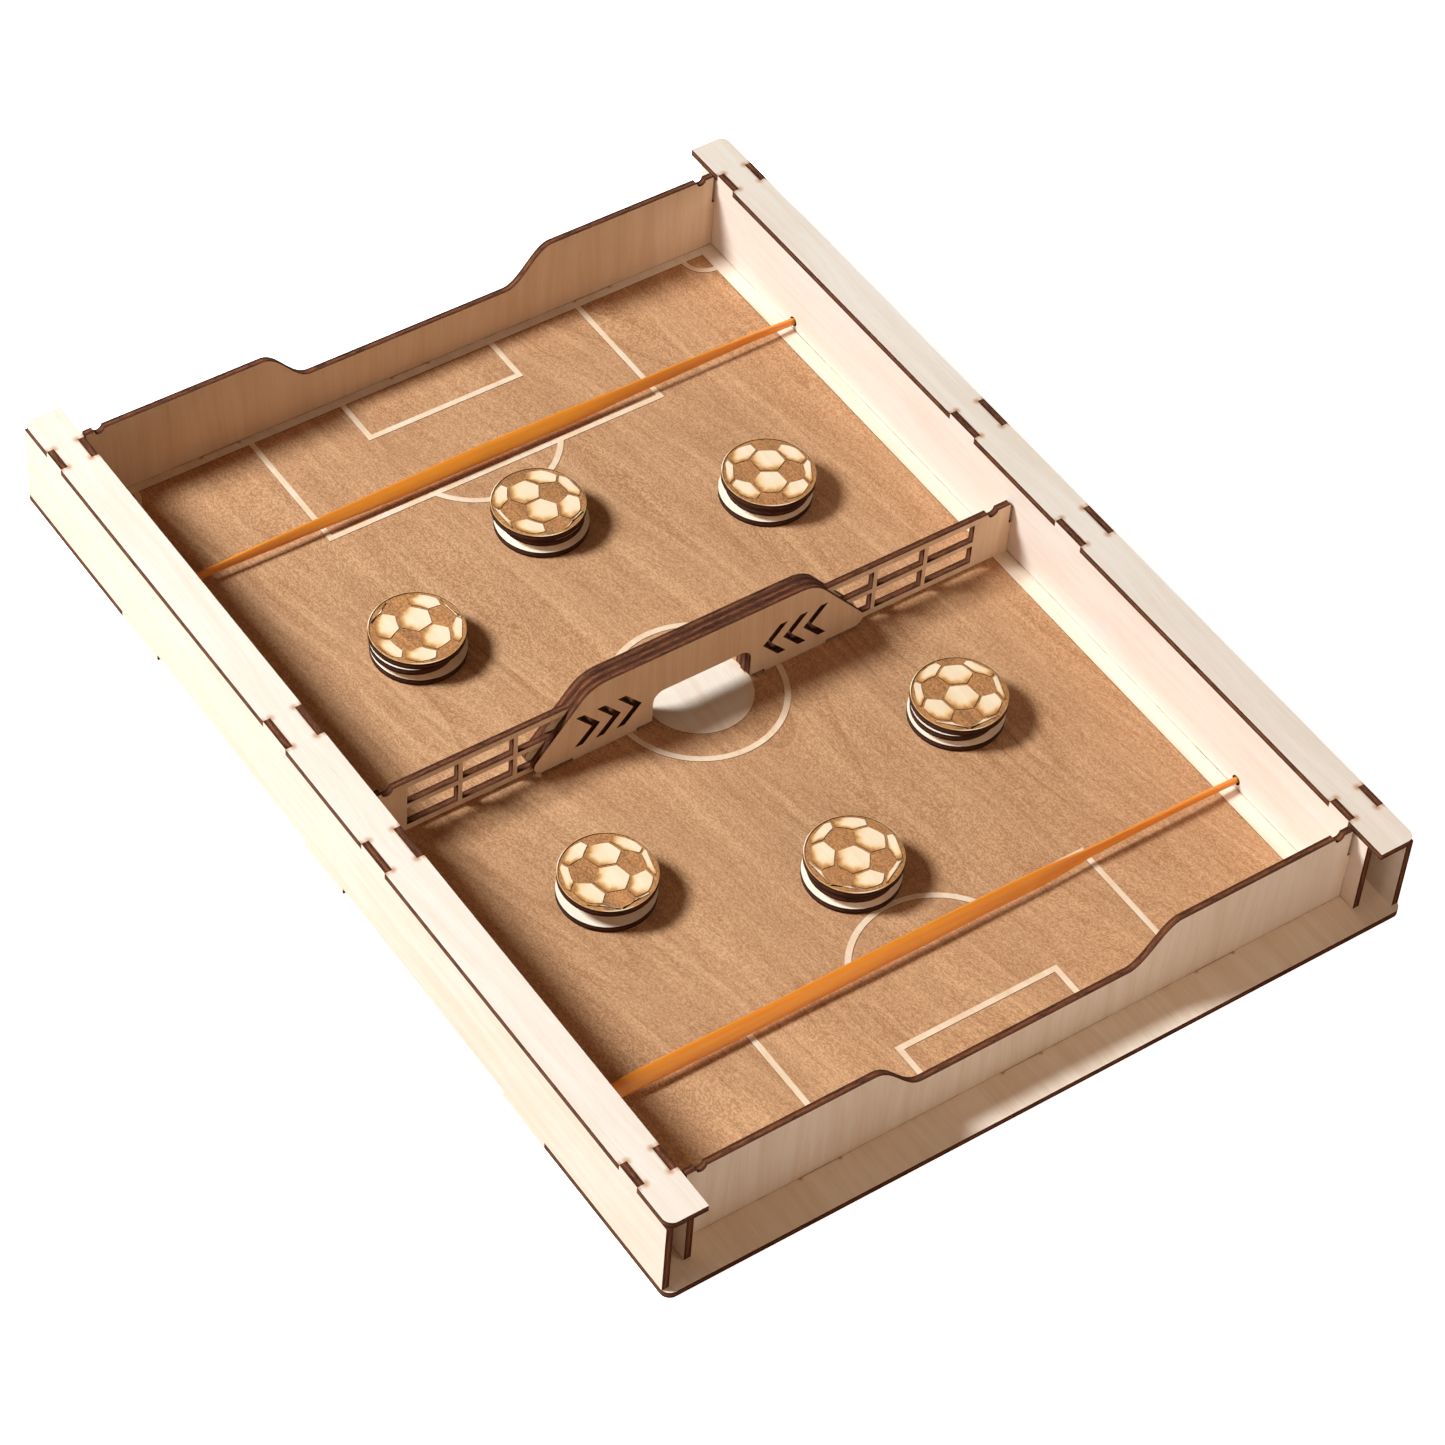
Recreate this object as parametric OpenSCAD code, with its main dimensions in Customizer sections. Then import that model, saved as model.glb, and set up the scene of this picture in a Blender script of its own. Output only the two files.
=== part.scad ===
// Tabletop sling-puck football game, cut from thin plywood sheet.
// X runs across the board, Y along it, Z up. The origin is at the middle of the underside.

/* [Board] */
// Thickness of every plywood sheet
ply = 3; // [2.8:0.1:3.2]
// Width of the board across both rails
board_w = 330; // [320:1:360]
// Length of the base board
board_l = 454; // [450:1:480]
// Radius of the base board's corners
board_corner_r = 4; // [2:0.5:6]
// Depth of the engraved pitch
engrave = 0.25; // [0.1:0.05:0.5]
// How far the board's long edges stand back under the walls between its corners
edge_inset = 1.5; // [0:0.1:2.5]

/* [Rails] */
// Width of each hollow side rail
rail_w = 16.5; // [15:0.5:20]
// Height of the walls between base board and cap
wall_h = 35.5; // [33:0.5:40]
// Length of a rail cap
cap_l = 450; // [446:1:450]
// Distance from the cap's end to the outer wall's end
outer_wall_inset = 1; // [0:0.5:3]
// Distance from the cap's end to the inner wall's end
inner_wall_inset = 7.5; // [5:0.5:10]
// Radius of the cap's two outer corners
cap_corner_r = 4; // [2:0.5:6]
// Length of the two tabs near the ends of a wall's top edge
end_tab_l = 11; // [8:0.5:14]
// Length of the two tabs near the middle of a wall's top edge
mid_tab_l = 16; // [10:0.5:20]
// Distance of the end tabs from the middle of the board
end_tab_y = 200.3; // [195:0.1:205]
// Distance of the middle tabs from the middle of the board
mid_tab_y = 34.6; // [30:0.1:40]
// Length of the tabs that stand in the base board
foot_tab_l = 27; // [20:1:30]
// Distance of the outer foot tabs from the middle of the board
foot_tab_y = 136.4; // [130:0.1:140]

/* [End walls] */
// Distance from the middle of the board to an end wall's outer face
end_wall_y = 210; // [205:0.5:212]
// Height of an end wall's raised parts
end_high = 37.5; // [34:0.5:38]
// Height of an end wall's lower middle
end_low = 21; // [16:0.5:26]
// Half length of the lower middle
low_half = 46; // [40:1:50]
// Run of the curve from low to high
curve_run = 22; // [18:1:30]
// Radius of the small notch near each end of an end wall
notch_r = 2.2; // [1:0.1:2.5]
// Length of the tabs under an end wall
end_foot_l = 17; // [12:1:20]
// Distance of the outer foot tabs from the middle
end_foot_x = 88.6; // [80:0.1:95]

/* [Net fence and gate] */
// Height of the net fence
fence_h = 26.5; // [25:0.5:32]
// Width of a fence window
window_w = 22.3; // [16:0.1:22.5]
// Height of a fence window
window_h = 9.3; // [6:0.1:9.5]
// Width of the upright bars between windows
bar_w = 1.9; // [1.5:0.1:4.5]
// Width of the level bar between the two rows of windows
level_bar_w = 2.3; // [1.5:0.1:4.5]
// Windows in each row on one side
window_columns = 3; // [1:1:3]
// Height of the gate arch
gate_h = 36; // [33:0.5:38]
// Half width of the gate arch at the foot
gate_foot_half = 80.5; // [79:0.5:84]
// Half width of the gate arch at the top
gate_top_half = 51; // [48:0.5:54]
// Width of the opening that the pucks go through
opening_w = 45; // [42:0.5:46]
// Height of the opening
opening_h = 16; // [14:0.5:20]
// Chevrons on each side of the opening
chevrons = 3; // [1:1:3]

/* [Pucks and bands] */
// Diameter of a puck
puck_d = 38; // [34:0.5:40]
// Diameter of the small disc inside a puck
core_d = 26; // [20:0.5:30]
// Diameter of the disc under the top one
second_d = 34; // [28:0.5:38]
// Height of the band holes above the base board
hole_z = 3.9; // [3.5:0.1:5]
// Diameter of the band holes
hole_d = 4.4; // [4:0.1:5]
// Distance of the band holes from the middle
hole_y = 147; // [140:0.5:150]
// Height of the flat band
band_h = 6; // [3:0.5:8]
// Thickness of the flat band
band_t = 1; // [0.6:0.1:1.5]

/* [Pitch lines] */
// Width of a pitch line
line_w = 2.5; // [1.5:0.1:3]
// Half width of the engraved field
field_x = 140; // [138:0.5:143]
// Half length of the engraved field
field_y = 203; // [200:0.5:204]
// How far the engraving sits to the right of the board's middle
engrave_shift = 1.5; // [0:0.1:3]
// Radius of the centre circle and of the penalty arcs
circle_r = 36; // [30:0.5:40]
// Radius of the centre disc
spot_r = 22; // [15:0.5:25]
// Radius of the corner arcs
corner_arc_r = 10.7; // [8:0.1:14]

/* [Hidden] */
$fn = 96;
FIT = 0.1;                             // play of a tab in its slot, each side
PUCKS = 6;
PUCK_AT = [[-2.4, 107], [85, 73.8], [-78.7, 74.2], [79.6, -61.9], [-83.4, -65.8], [-1.1, -106.2]];
// The discs are glued by hand, so the bottom and the second disc sit a little off the top one
BOTTOM_OFF = [[1.2, -0.9], [-0.6, 0.4], [0.6, -0.3], [-0.3, 0.2], [-0.1, 0.1], [-0.2, 0.1]];
SECOND_OFF = [[0.3, -2.1], [-1.2, -1.5], [-2.4, -1.1], [-2.6, -0.8], [1, 1.3], [-1.4, -1]];
DISCS = ["bottom", "core", "second", "top"];
DISC_D = [puck_d, core_d, second_d, puck_d];

BIRCH = [0.91, 0.80, 0.66];
BIRCH_END = [0.80, 0.66, 0.50];
AMBER = [0.86, 0.52, 0.08];

top_z = ply;                           // upper face of the base board
cap_z = ply + wall_h;                  // underside of the rail caps
outer_x = board_w / 2 - ply;           // inside face of an outer wall
inner_x = board_w / 2 - rail_w;        // field face of an inner wall
cross_x = inner_x - 0.2;               // end of a cross wall below its side tab
cross_top_x = inner_x - 1.2;           // end of a cross wall above its side tab
side_tab_low = 10.9;                   // side tab of an end wall, above the base board
side_tab_high = 23.6;
fence_tab_low = 9.9;                   // side tab of the fence, above the base board
fence_tab_high = 16.2;
end_wall_mid = end_wall_y - ply / 2;
notch_in = 6.1;                        // middle of a notch from the end of its wall
fence_notch_in = 8.7;
fence_notch_r = 2.4;
fence_foot_x = 94.2;                   // small foot tabs of the fence
fence_foot_l = 5;
gate_tab_x = 44;                       // foot tabs of the three gate layers
gate_tab_l = 29;
gate_gap = 1;                          // between the gate's lower edge and the base board
gate_low_r = 4;                        // corner radii of the gate arch
gate_high_r = 15;
opening_r = 5;
window_edge = 130;                     // outer edge of the outermost window
window_low = 2.9;                      // underside of the lower row of windows
chevron_x = 27.9;                      // point of the innermost chevron
chevron_step = 9.4;
chevron_w = 3.8;                       // width of a stroke, and its run and rise
chevron_run = 7.4;
chevron_rise = 8.2;
chevron_z = 14.5;
band_mid = hole_z + 0.9;               // middle of the flat band above the base board
knot_r = 3.6;
neck_d = 3;                            // round part that goes through the wall

penalty_box = [79, 140.7];             // half width, and distance of its front line from the middle
goal_box = [36.6, 180.5];
arc_y = 160;                           // middle of the penalty arc

// Positions of tabs along a side wall
top_tabs = [[-end_tab_y, end_tab_l], [-mid_tab_y, mid_tab_l],
            [mid_tab_y, mid_tab_l], [end_tab_y, end_tab_l]];
foot_tabs = [[-foot_tab_y, foot_tab_l], [0, foot_tab_l], [foot_tab_y, foot_tab_l]];
end_feet = [[-end_foot_x, end_foot_l], [0, end_foot_l], [end_foot_x, end_foot_l]];

// ---- outlines ----

function unit(v) = v / norm(v);
// Points of a corner b between a and c, rounded with radius r
function corner(a, b, c, r) =
    let (u = unit(a - b), v = unit(c - b),
         half = acos(u * v) / 2,
         mid = b + unit(u + v) * r / sin(half),
         p = b + u * r / tan(half) - mid,
         q = b + v * r / tan(half) - mid,
         a0 = atan2(p[1], p[0]),
         raw = atan2(q[1], q[0]) - a0,
         turn = raw > 180 ? raw - 360 : raw < -180 ? raw + 360 : raw,
         steps = max(2, ceil(abs(turn) / 7.5)))
    r == 0 ? [b] : [for (i = [0 : steps]) mid + r * [cos(a0 + turn * i / steps), sin(a0 + turn * i / steps)]];
// Outline of a polygon whose corners carry their own radii: [[x, y, r], ...]
function rounded(pts) =
    let (n = len(pts), xy = [for (p = pts) [p[0], p[1]]])
    [for (i = [0 : n - 1]) each corner(xy[(i + n - 1) % n], xy[i], xy[(i + 1) % n], pts[i][2])];

// Rectangle from its lower left to its upper right corner
module box2d(low, high) {
    translate(low) square(high - low);
}

// Tabs along an edge: each [middle, length] becomes a rectangle between two heights
module tabs2d(tabs, low, high, play = 0) {
    for (t = tabs) box2d([t[0] - t[1] / 2 - play, low], [t[0] + t[1] / 2 + play, high]);
}

// A sheet that stands across the board, drawn in X and Z, its middle at y
module cross_sheet(y) {
    translate([0, y + ply / 2, 0]) rotate([90, 0, 0]) linear_extrude(ply) children();
}

// A sheet that stands along the board, drawn in Y and Z, its lower X face at x
module long_sheet(x) {
    translate([x, 0, 0]) rotate([90, 0, 90]) linear_extrude(ply) children();
}

// ---- base board ----

// One corner arc of the pitch
module corner_arc2d() {
    difference() {
        circle(r = corner_arc_r);
        circle(r = corner_arc_r - line_w);
    }
}

// Lines that are left standing on one half of the pitch
module half_lines2d() {
    for (b = [penalty_box, goal_box]) difference() {
        box2d([-b[0], b[1]], [b[0], field_y + 1]);
        box2d([-b[0] + line_w, b[1] + line_w], [b[0] - line_w, field_y + 2]);
    }
    intersection() {
        translate([0, arc_y]) ring2d(circle_r);
        box2d([-circle_r, arc_y - circle_r], [circle_r, penalty_box[1] + line_w]);
    }
    for (s = [-1, 1]) translate([s * field_x, field_y]) corner_arc2d();
}

module ring2d(r) {
    difference() {
        circle(r = r);
        circle(r = r - line_w);
    }
}

module pitch2d() {
    difference() {
        box2d([-field_x, -field_y], [field_x, field_y]);
        half_lines2d();
        mirror([0, 1]) half_lines2d();
        ring2d(circle_r);
        circle(r = spot_r);
    }
}

module board_slots2d() {
    for (s = [0, 1]) mirror([s, 0]) {
        for (t = foot_tabs) {
            box2d([outer_x - FIT, t[0] - t[1] / 2 - FIT], [board_w, t[0] + t[1] / 2 + FIT]);
            box2d([inner_x - FIT, t[0] - t[1] / 2 - FIT], [inner_x + ply + FIT, t[0] + t[1] / 2 + FIT]);
        }
        box2d([gate_tab_x - gate_tab_l / 2 - FIT, -1.5 * ply - FIT],
              [gate_tab_x + gate_tab_l / 2 + FIT, 1.5 * ply + FIT]);
        box2d([fence_foot_x - fence_foot_l / 2 - FIT, -ply / 2 - FIT],
              [fence_foot_x + fence_foot_l / 2 + FIT, ply / 2 + FIT]);
    }
    for (s = [-1, 1]) translate([0, s * end_wall_mid])
        tabs2d(end_feet, -ply / 2 - FIT, ply / 2 + FIT, FIT);
}

module base_board() {
    w = board_w / 2;
    l = board_l / 2;
    inset_y = foot_tab_y + foot_tab_l / 2 + FIT;
    color(BIRCH) difference() {
        linear_extrude(ply) difference() {
            union() {
                box2d([-w + board_corner_r, -l], [w - board_corner_r, l]);
                box2d([-w, -l + board_corner_r], [w, l - board_corner_r]);
                for (x = [-1, 1], y = [-1, 1])
                    translate([x * (w - board_corner_r), y * (l - board_corner_r)])
                        circle(r = board_corner_r);
            }
            board_slots2d();
            for (s = [0, 1]) mirror([s, 0]) box2d([w - edge_inset, -inset_y], [board_w, inset_y]);
        }
        translate([engrave_shift, 0, top_z - engrave]) linear_extrude(ply) pitch2d();
    }
}

// ---- side rails, drawn on the right ----

module left() {
    mirror([1, 0, 0]) children();
}

module wall2d(half_l) {
    box2d([-half_l, top_z], [half_l, cap_z]);
    tabs2d(top_tabs, top_z, cap_z + ply);
    tabs2d(foot_tabs, 0, cap_z);
}

module outer_wall() {
    color(BIRCH) long_sheet(outer_x) wall2d(cap_l / 2 - outer_wall_inset);
}

module inner_wall() {
    color(BIRCH) difference() {
        long_sheet(inner_x) difference() {
            wall2d(cap_l / 2 - inner_wall_inset);
            for (s = [-1, 1])
                box2d([s * end_wall_mid - ply / 2 - FIT, top_z + side_tab_low - FIT],
                      [s * end_wall_mid + ply / 2 + FIT, top_z + side_tab_high + FIT]);
            box2d([-ply / 2 - FIT, top_z + fence_tab_low - FIT],
                  [ply / 2 + FIT, top_z + fence_tab_high + FIT]);
        }
        for (s = [-1, 1]) translate([inner_x + ply / 2, s * hole_y, top_z + hole_z])
            rotate([0, 90, 0]) cylinder(d = hole_d, h = 2 * ply, center = true);
    }
}

module rail_cap() {
    x = board_w / 2;
    l = cap_l / 2;
    color(BIRCH) translate([0, 0, cap_z]) linear_extrude(ply) difference() {
        union() {
            box2d([inner_x, -l], [x - cap_corner_r, l]);
            box2d([inner_x, -l + cap_corner_r], [x, l - cap_corner_r]);
            for (s = [-1, 1]) translate([x - cap_corner_r, s * (l - cap_corner_r)])
                circle(r = cap_corner_r);
        }
        for (t = top_tabs) {
            box2d([0, t[0] - t[1] / 2 - FIT], [inner_x + ply + FIT, t[0] + t[1] / 2 + FIT]);
            box2d([outer_x - FIT, t[0] - t[1] / 2 - FIT], [board_w, t[0] + t[1] / 2 + FIT]);
        }
    }
}

// ---- end walls ----

// Right half of an end wall's outline, from the middle outwards
function half_profile() = concat(
    [[0, top_z], [0, top_z + end_low]],
    [for (i = [0 : 24]) [low_half + curve_run * i / 24,
                         top_z + end_low + (end_high - end_low) * (1 - cos(180 * i / 24)) / 2]],
    [[cross_top_x, top_z + end_high], [cross_top_x, top_z + side_tab_high],
     [inner_x + ply, top_z + side_tab_high], [inner_x + ply, top_z + side_tab_low],
     [cross_x, top_z + side_tab_low], [cross_x, top_z]]);

module end_wall2d() {
    difference() {
        union() {
            for (s = [0, 1]) mirror([s, 0]) polygon(half_profile());
            tabs2d(end_feet, 0, top_z + end_low / 2);
        }
        for (s = [-1, 1]) translate([s * (cross_top_x - notch_in), top_z + end_high])
            circle(r = notch_r);
    }
}

module end_wall(side) {
    color(BIRCH) cross_sheet(side * end_wall_mid) end_wall2d();
}

// ---- net fence and gate ----

module arch2d() {
    low = top_z + gate_gap;
    high = top_z + gate_h;
    polygon(rounded([[-gate_foot_half, low, gate_low_r], [gate_foot_half, low, gate_low_r],
                     [gate_top_half, high, gate_high_r], [-gate_top_half, high, gate_high_r]]));
}

module opening2d() {
    h = opening_w / 2;
    high = top_z + opening_h;
    polygon(rounded([[-h, -1, 0], [h, -1, 0], [h, high, opening_r], [-h, high, opening_r]]));
}

module chevron2d() {
    polygon([[0, 0], [chevron_run, chevron_rise], [chevron_run + chevron_w, chevron_rise],
             [chevron_w, 0], [chevron_run + chevron_w, -chevron_rise], [chevron_run, -chevron_rise]]);
}

module gate_holes2d() {
    opening2d();
    for (s = [0, 1], i = [0 : chevrons - 1]) mirror([s, 0])
        translate([chevron_x + i * chevron_step, top_z + chevron_z]) chevron2d();
}

module gate_tabs2d() {
    tabs2d([[-gate_tab_x, gate_tab_l], [gate_tab_x, gate_tab_l]], 0, top_z + 2);
}

module gate_plate(side) {
    color(BIRCH_END) cross_sheet(side * ply) difference() {
        union() {
            arch2d();
            gate_tabs2d();
        }
        gate_holes2d();
    }
}

module net_fence() {
    pitch_w = window_w + bar_w;
    pitch_h = window_h + level_bar_w;
    color(BIRCH_END) cross_sheet(0) difference() {
        union() {
            arch2d();
            gate_tabs2d();
            box2d([-cross_x, top_z], [cross_x, top_z + fence_tab_low]);
            box2d([-cross_top_x, top_z], [cross_top_x, top_z + fence_h]);
            box2d([-inner_x - ply, top_z + fence_tab_low], [inner_x + ply, top_z + fence_tab_high]);
            tabs2d([[-fence_foot_x, fence_foot_l], [fence_foot_x, fence_foot_l]], 0, top_z + 1);
        }
        gate_holes2d();
        for (s = [0, 1], i = [0 : window_columns - 1], j = [0, 1]) mirror([s, 0])
            translate([window_edge - window_w - i * pitch_w, top_z + window_low + j * pitch_h])
                square([window_w, window_h]);
        for (s = [-1, 1]) translate([s * (cross_top_x - fence_notch_in), top_z + fence_h])
            circle(r = fence_notch_r);
    }
}

// ---- elastic bands ----

// Outline of the round neck and of the knot behind a wall, turned about the band's own line
function knot_profile(start) = concat(
    [[0, 0], [neck_d / 2, 0], [neck_d / 2, start]],
    [for (a = [-60 : 15 : 90]) [knot_r * cos(a), start + knot_r * (1 + sin(a))]],
    [[0, start + 2 * knot_r]]);

// Flat band between the inner walls, thin where it goes through them, knotted inside the rails
module elastic_band(side) {
    neck = inner_x + ply;              // the knot starts behind the wall
    flat_x = inner_x - 12;             // end of the flat part
    color(AMBER) translate([0, side * hole_y, 0]) {
        translate([-flat_x, -band_t / 2, top_z + band_mid - band_h / 2]) cube([2 * flat_x, band_t, band_h]);
        for (s = [-1, 1]) translate([0, 0, top_z + hole_z]) rotate([0, s * 90, 0])
            rotate_extrude($fn = 48) polygon(knot_profile(neck));
    }
}

// ---- pucks ----

module disc(n, level) {
    at = PUCK_AT[n] + [BOTTOM_OFF[n], BOTTOM_OFF[n] / 2, SECOND_OFF[n], [0, 0]][level];
    color(BIRCH_END) translate([at[0], at[1], top_z + level * ply]) cylinder(d = DISC_D[level], h = ply);
}

base_board();
left() outer_wall();  // left_outer_wall
left() inner_wall();  // left_inner_wall
left() rail_cap();  // left_rail_cap
outer_wall();  // right_outer_wall
inner_wall();  // right_inner_wall
rail_cap();  // right_rail_cap
end_wall(-1);  // near_end_wall
end_wall(1);  // far_end_wall
net_fence();
gate_plate(-1);  // near_gate_plate
gate_plate(1);  // far_gate_plate
elastic_band(-1);  // near_elastic_band
elastic_band(1);  // far_elastic_band
for (n = [0 : PUCKS - 1], level = [0 : 3])
    disc(n, level);
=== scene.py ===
import math
from collections import namedtuple

import bpy
from mathutils import Matrix, Vector
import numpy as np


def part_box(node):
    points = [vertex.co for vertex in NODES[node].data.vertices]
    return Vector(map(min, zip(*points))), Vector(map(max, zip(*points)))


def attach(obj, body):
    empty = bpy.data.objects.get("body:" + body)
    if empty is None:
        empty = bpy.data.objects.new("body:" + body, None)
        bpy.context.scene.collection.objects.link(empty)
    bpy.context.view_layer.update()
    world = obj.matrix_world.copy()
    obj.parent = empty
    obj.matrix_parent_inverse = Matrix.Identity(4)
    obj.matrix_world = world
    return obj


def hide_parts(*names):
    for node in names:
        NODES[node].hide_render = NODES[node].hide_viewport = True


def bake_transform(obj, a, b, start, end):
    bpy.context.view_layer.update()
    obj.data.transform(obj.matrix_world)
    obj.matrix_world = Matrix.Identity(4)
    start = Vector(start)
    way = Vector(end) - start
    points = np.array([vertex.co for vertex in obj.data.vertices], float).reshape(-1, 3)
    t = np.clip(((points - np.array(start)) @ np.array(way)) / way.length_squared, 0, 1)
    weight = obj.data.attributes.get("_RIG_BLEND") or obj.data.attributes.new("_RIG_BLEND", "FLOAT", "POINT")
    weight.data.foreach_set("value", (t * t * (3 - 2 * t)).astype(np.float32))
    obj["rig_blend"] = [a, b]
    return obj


bl_info = {
    "name": "Tabletop football sling board",
    "version": (1, 0, 0),
    "blender": (4, 5, 0),
    "location": "3D View > Sidebar > Sling board",
    "description": "Finishes, pucks, bands and stage of a plywood sling-puck football board",
    "category": "Object",
}

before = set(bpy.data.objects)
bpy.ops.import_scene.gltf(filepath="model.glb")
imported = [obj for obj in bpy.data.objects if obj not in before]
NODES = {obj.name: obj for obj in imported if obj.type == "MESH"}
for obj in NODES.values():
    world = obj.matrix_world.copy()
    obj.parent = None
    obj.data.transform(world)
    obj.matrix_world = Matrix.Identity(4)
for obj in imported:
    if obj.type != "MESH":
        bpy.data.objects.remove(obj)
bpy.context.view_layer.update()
MM = 0.001
PLY = 3 * MM  # thickness of every plywood sheet
LEVEL = 1e-6  # lengths under this count as nothing
FACING = 0.7  # least part of a normal along an axis for a face to count as turned that way
FIELD_HALF_X, FIELD_HALF_Y = 140.0 * MM, 203.0 * MM  # half sizes of the engraved field
FIELD_SHIFT = 1.5 * MM  # how far the engraving sits to the right
SPOT_RADIUS = 22.0 * MM  # disc in the middle of the field
HOLE_Z = 6.9 * MM  # height of the band holes
# Slots for the end walls' feet: (centre, half size, reach of the smoke)
FOOT_SLOTS = [
    ((x * MM, 208.5 * MM, 0), (8.6 * MM, 1.6 * MM, 1.0), 1.7 * MM) for x in (0, 88.6)
]
X, Y, Z = 0, 1, 2

# The parts of a sheet's material that its callers add to
Sheet = namedtuple("Sheet", "material tree place where facing face edge is_face")


# ---------------------------------------------------------------- settings


def colour_setting(name, description, default):
    return bpy.props.FloatVectorProperty(
        name=name,
        description=description,
        subtype="COLOR",
        size=3,
        min=0.0,
        max=1.0,
        default=default,
    )


def length_setting(name, description, default):
    return bpy.props.FloatProperty(
        name=name,
        description=description,
        unit="LENGTH",
        min=0.0,
        default=default,
        precision=5,
    )


class BirchFinish(bpy.types.PropertyGroup):
    face_light: colour_setting(
        "Pale birch", "Lightest colour of the sanded veneer", (0.93, 0.835, 0.735)
    )
    face_dark: colour_setting(
        "Grain of the birch", "Darker streaks in the sanded veneer", (0.81, 0.665, 0.525)
    )
    field_light: colour_setting(
        "Engraved field", "Lightest colour of the engraved wood", (0.70, 0.395, 0.205)
    )
    field_dark: colour_setting(
        "Grain of the field", "Darker streaks in the engraved wood", (0.40, 0.185, 0.078)
    )
    cut_light: colour_setting(
        "Cut edge core", "Lighter layers in a laser-cut edge", (0.27, 0.085, 0.032)
    )
    cut_dark: colour_setting(
        "Cut edge char", "Darkest char on a laser-cut edge", (0.026, 0.010, 0.006)
    )
    scorch: colour_setting(
        "Scorch", "Smoke stain beside a laser cut", (0.50, 0.20, 0.055)
    )


class BallFace(bpy.types.PropertyGroup):
    carve: length_setting("Carving depth", "Depth of the engraved ground", 0.0003)
    rim: length_setting("Rim", "Width of the ring left round the ball", 0.0004)
    seam: length_setting("Seam", "Half width of a carved seam", 0.00055)


class BandShape(bpy.types.PropertyGroup):
    width: length_setting("Width", "Width of the flat band", 0.0068)
    thickness: length_setting("Thickness", "Thickness of the flat band", 0.0011)
    neck: length_setting("Neck", "Thickness where it goes through a wall", 0.0030)
    amber: colour_setting("Rubber", "Colour of the rubber", (0.93, 0.35, 0.035))
    amber_painted_shade: colour_setting(
        "Deep rubber", "Colour where the rubber is in its own shade", (0.78, 0.25, 0.022)
    )


class StageLight(bpy.types.PropertyGroup):
    key: bpy.props.FloatProperty(
        name="Key light", description="Power of the key light", unit="POWER", default=64.0
    )
    fill: bpy.props.FloatProperty(
        name="Side light",
        description="Power of the soft side light",
        unit="POWER",
        default=5.5,
    )
    card: bpy.props.FloatProperty(
        name="Front card",
        description="Power of the warm card low in front",
        unit="POWER",
        default=0.24,
    )
    sky: bpy.props.FloatProperty(
        name="Sky", description="Strength of the even light all round", default=0.13
    )
    focal: bpy.props.FloatProperty(
        name="Focal length", description="Focal length of the camera in mm", default=116.76
    )


# ---------------------------------------------------------------- shader helpers


def add(tree, kind, inputs=None, **settings):
    """Adds a node, makes its settings, and fills its inputs with values or other nodes' sockets."""
    node = tree.nodes.new("ShaderNode" + kind)
    for name, value in settings.items():
        setattr(node, name, value)
    for key, value in (inputs or {}).items():
        if isinstance(value, bpy.types.NodeSocket):
            tree.links.new(value, node.inputs[key])
        else:
            node.inputs[key].default_value = value
    return node


def calc(tree, operation, *values, clamp=False):
    """One math node's result."""
    node = add(tree, "Math", dict(enumerate(values)), operation=operation, use_clamp=clamp)
    return node.outputs[0]


def times(tree, first, second, clamp=False):
    return calc(tree, "MULTIPLY", first, second, clamp=clamp)


def plus(tree, first, second, clamp=False):
    return calc(tree, "ADD", first, second, clamp=clamp)


def minus(tree, first, second):
    return calc(tree, "SUBTRACT", first, second)


def size_of(tree, value):
    """A value without its sign."""
    return calc(tree, "ABSOLUTE", value)


def vector_calc(tree, operation, *values):
    """One vector math node, whose result may be a vector or a value."""
    return add(tree, "VectorMath", dict(enumerate(values)), operation=operation)


def blend_colours(tree, factor, first, second, mode="MIX"):
    """The two colours mixed by a factor."""
    node = add(tree, "Mix", {0: factor}, data_type="RGBA", blend_type=mode)
    for index, value in ((6, first), (7, second)):
        if isinstance(value, bpy.types.NodeSocket):
            tree.links.new(value, node.inputs[index])
        else:
            node.inputs[index].default_value = value
    return node.outputs[2]


def spread(tree, value, low, high, to_low=0.0, to_high=1.0):
    """A value's range moved to another, clamped and eased."""
    return add(
        tree,
        "MapRange",
        {0: value, 1: low, 2: high, 3: to_low, 4: to_high},
        interpolation_type="SMOOTHSTEP",
    ).outputs[0]


def noise(tree, vector, scale, detail=3.0, roughness=0.55, distortion=0.0):
    return add(
        tree,
        "TexNoise",
        {
            "Vector": vector,
            "Scale": scale,
            "Detail": detail,
            "Roughness": roughness,
            "Distortion": distortion,
        },
    ).outputs["Fac"]


def stretched(tree, vector, scale, turn=0.0):
    return add(
        tree,
        "Mapping",
        {"Vector": vector, "Rotation": (0.0, 0.0, turn), "Scale": scale},
    ).outputs[0]


def opaque(colour, shares=(1, 1, 1)):
    """A colour, or a share of each of its channels, with full alpha."""
    return (*[c * s for c, s in zip(colour, shares)], 1.0)


def shifted_across(tree, vector, amount):
    """A vector moved along X by a varying amount."""
    shift = add(tree, "CombineXYZ", {0: amount}).outputs[0]
    return vector_calc(tree, "ADD", vector, shift).outputs[0]


def pick_height(tree, factor, first, second):
    """One of two heights, chosen by a mask."""
    return add(tree, "Mix", {0: factor, 2: first, 3: second}, data_type="FLOAT").outputs[0]


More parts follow.
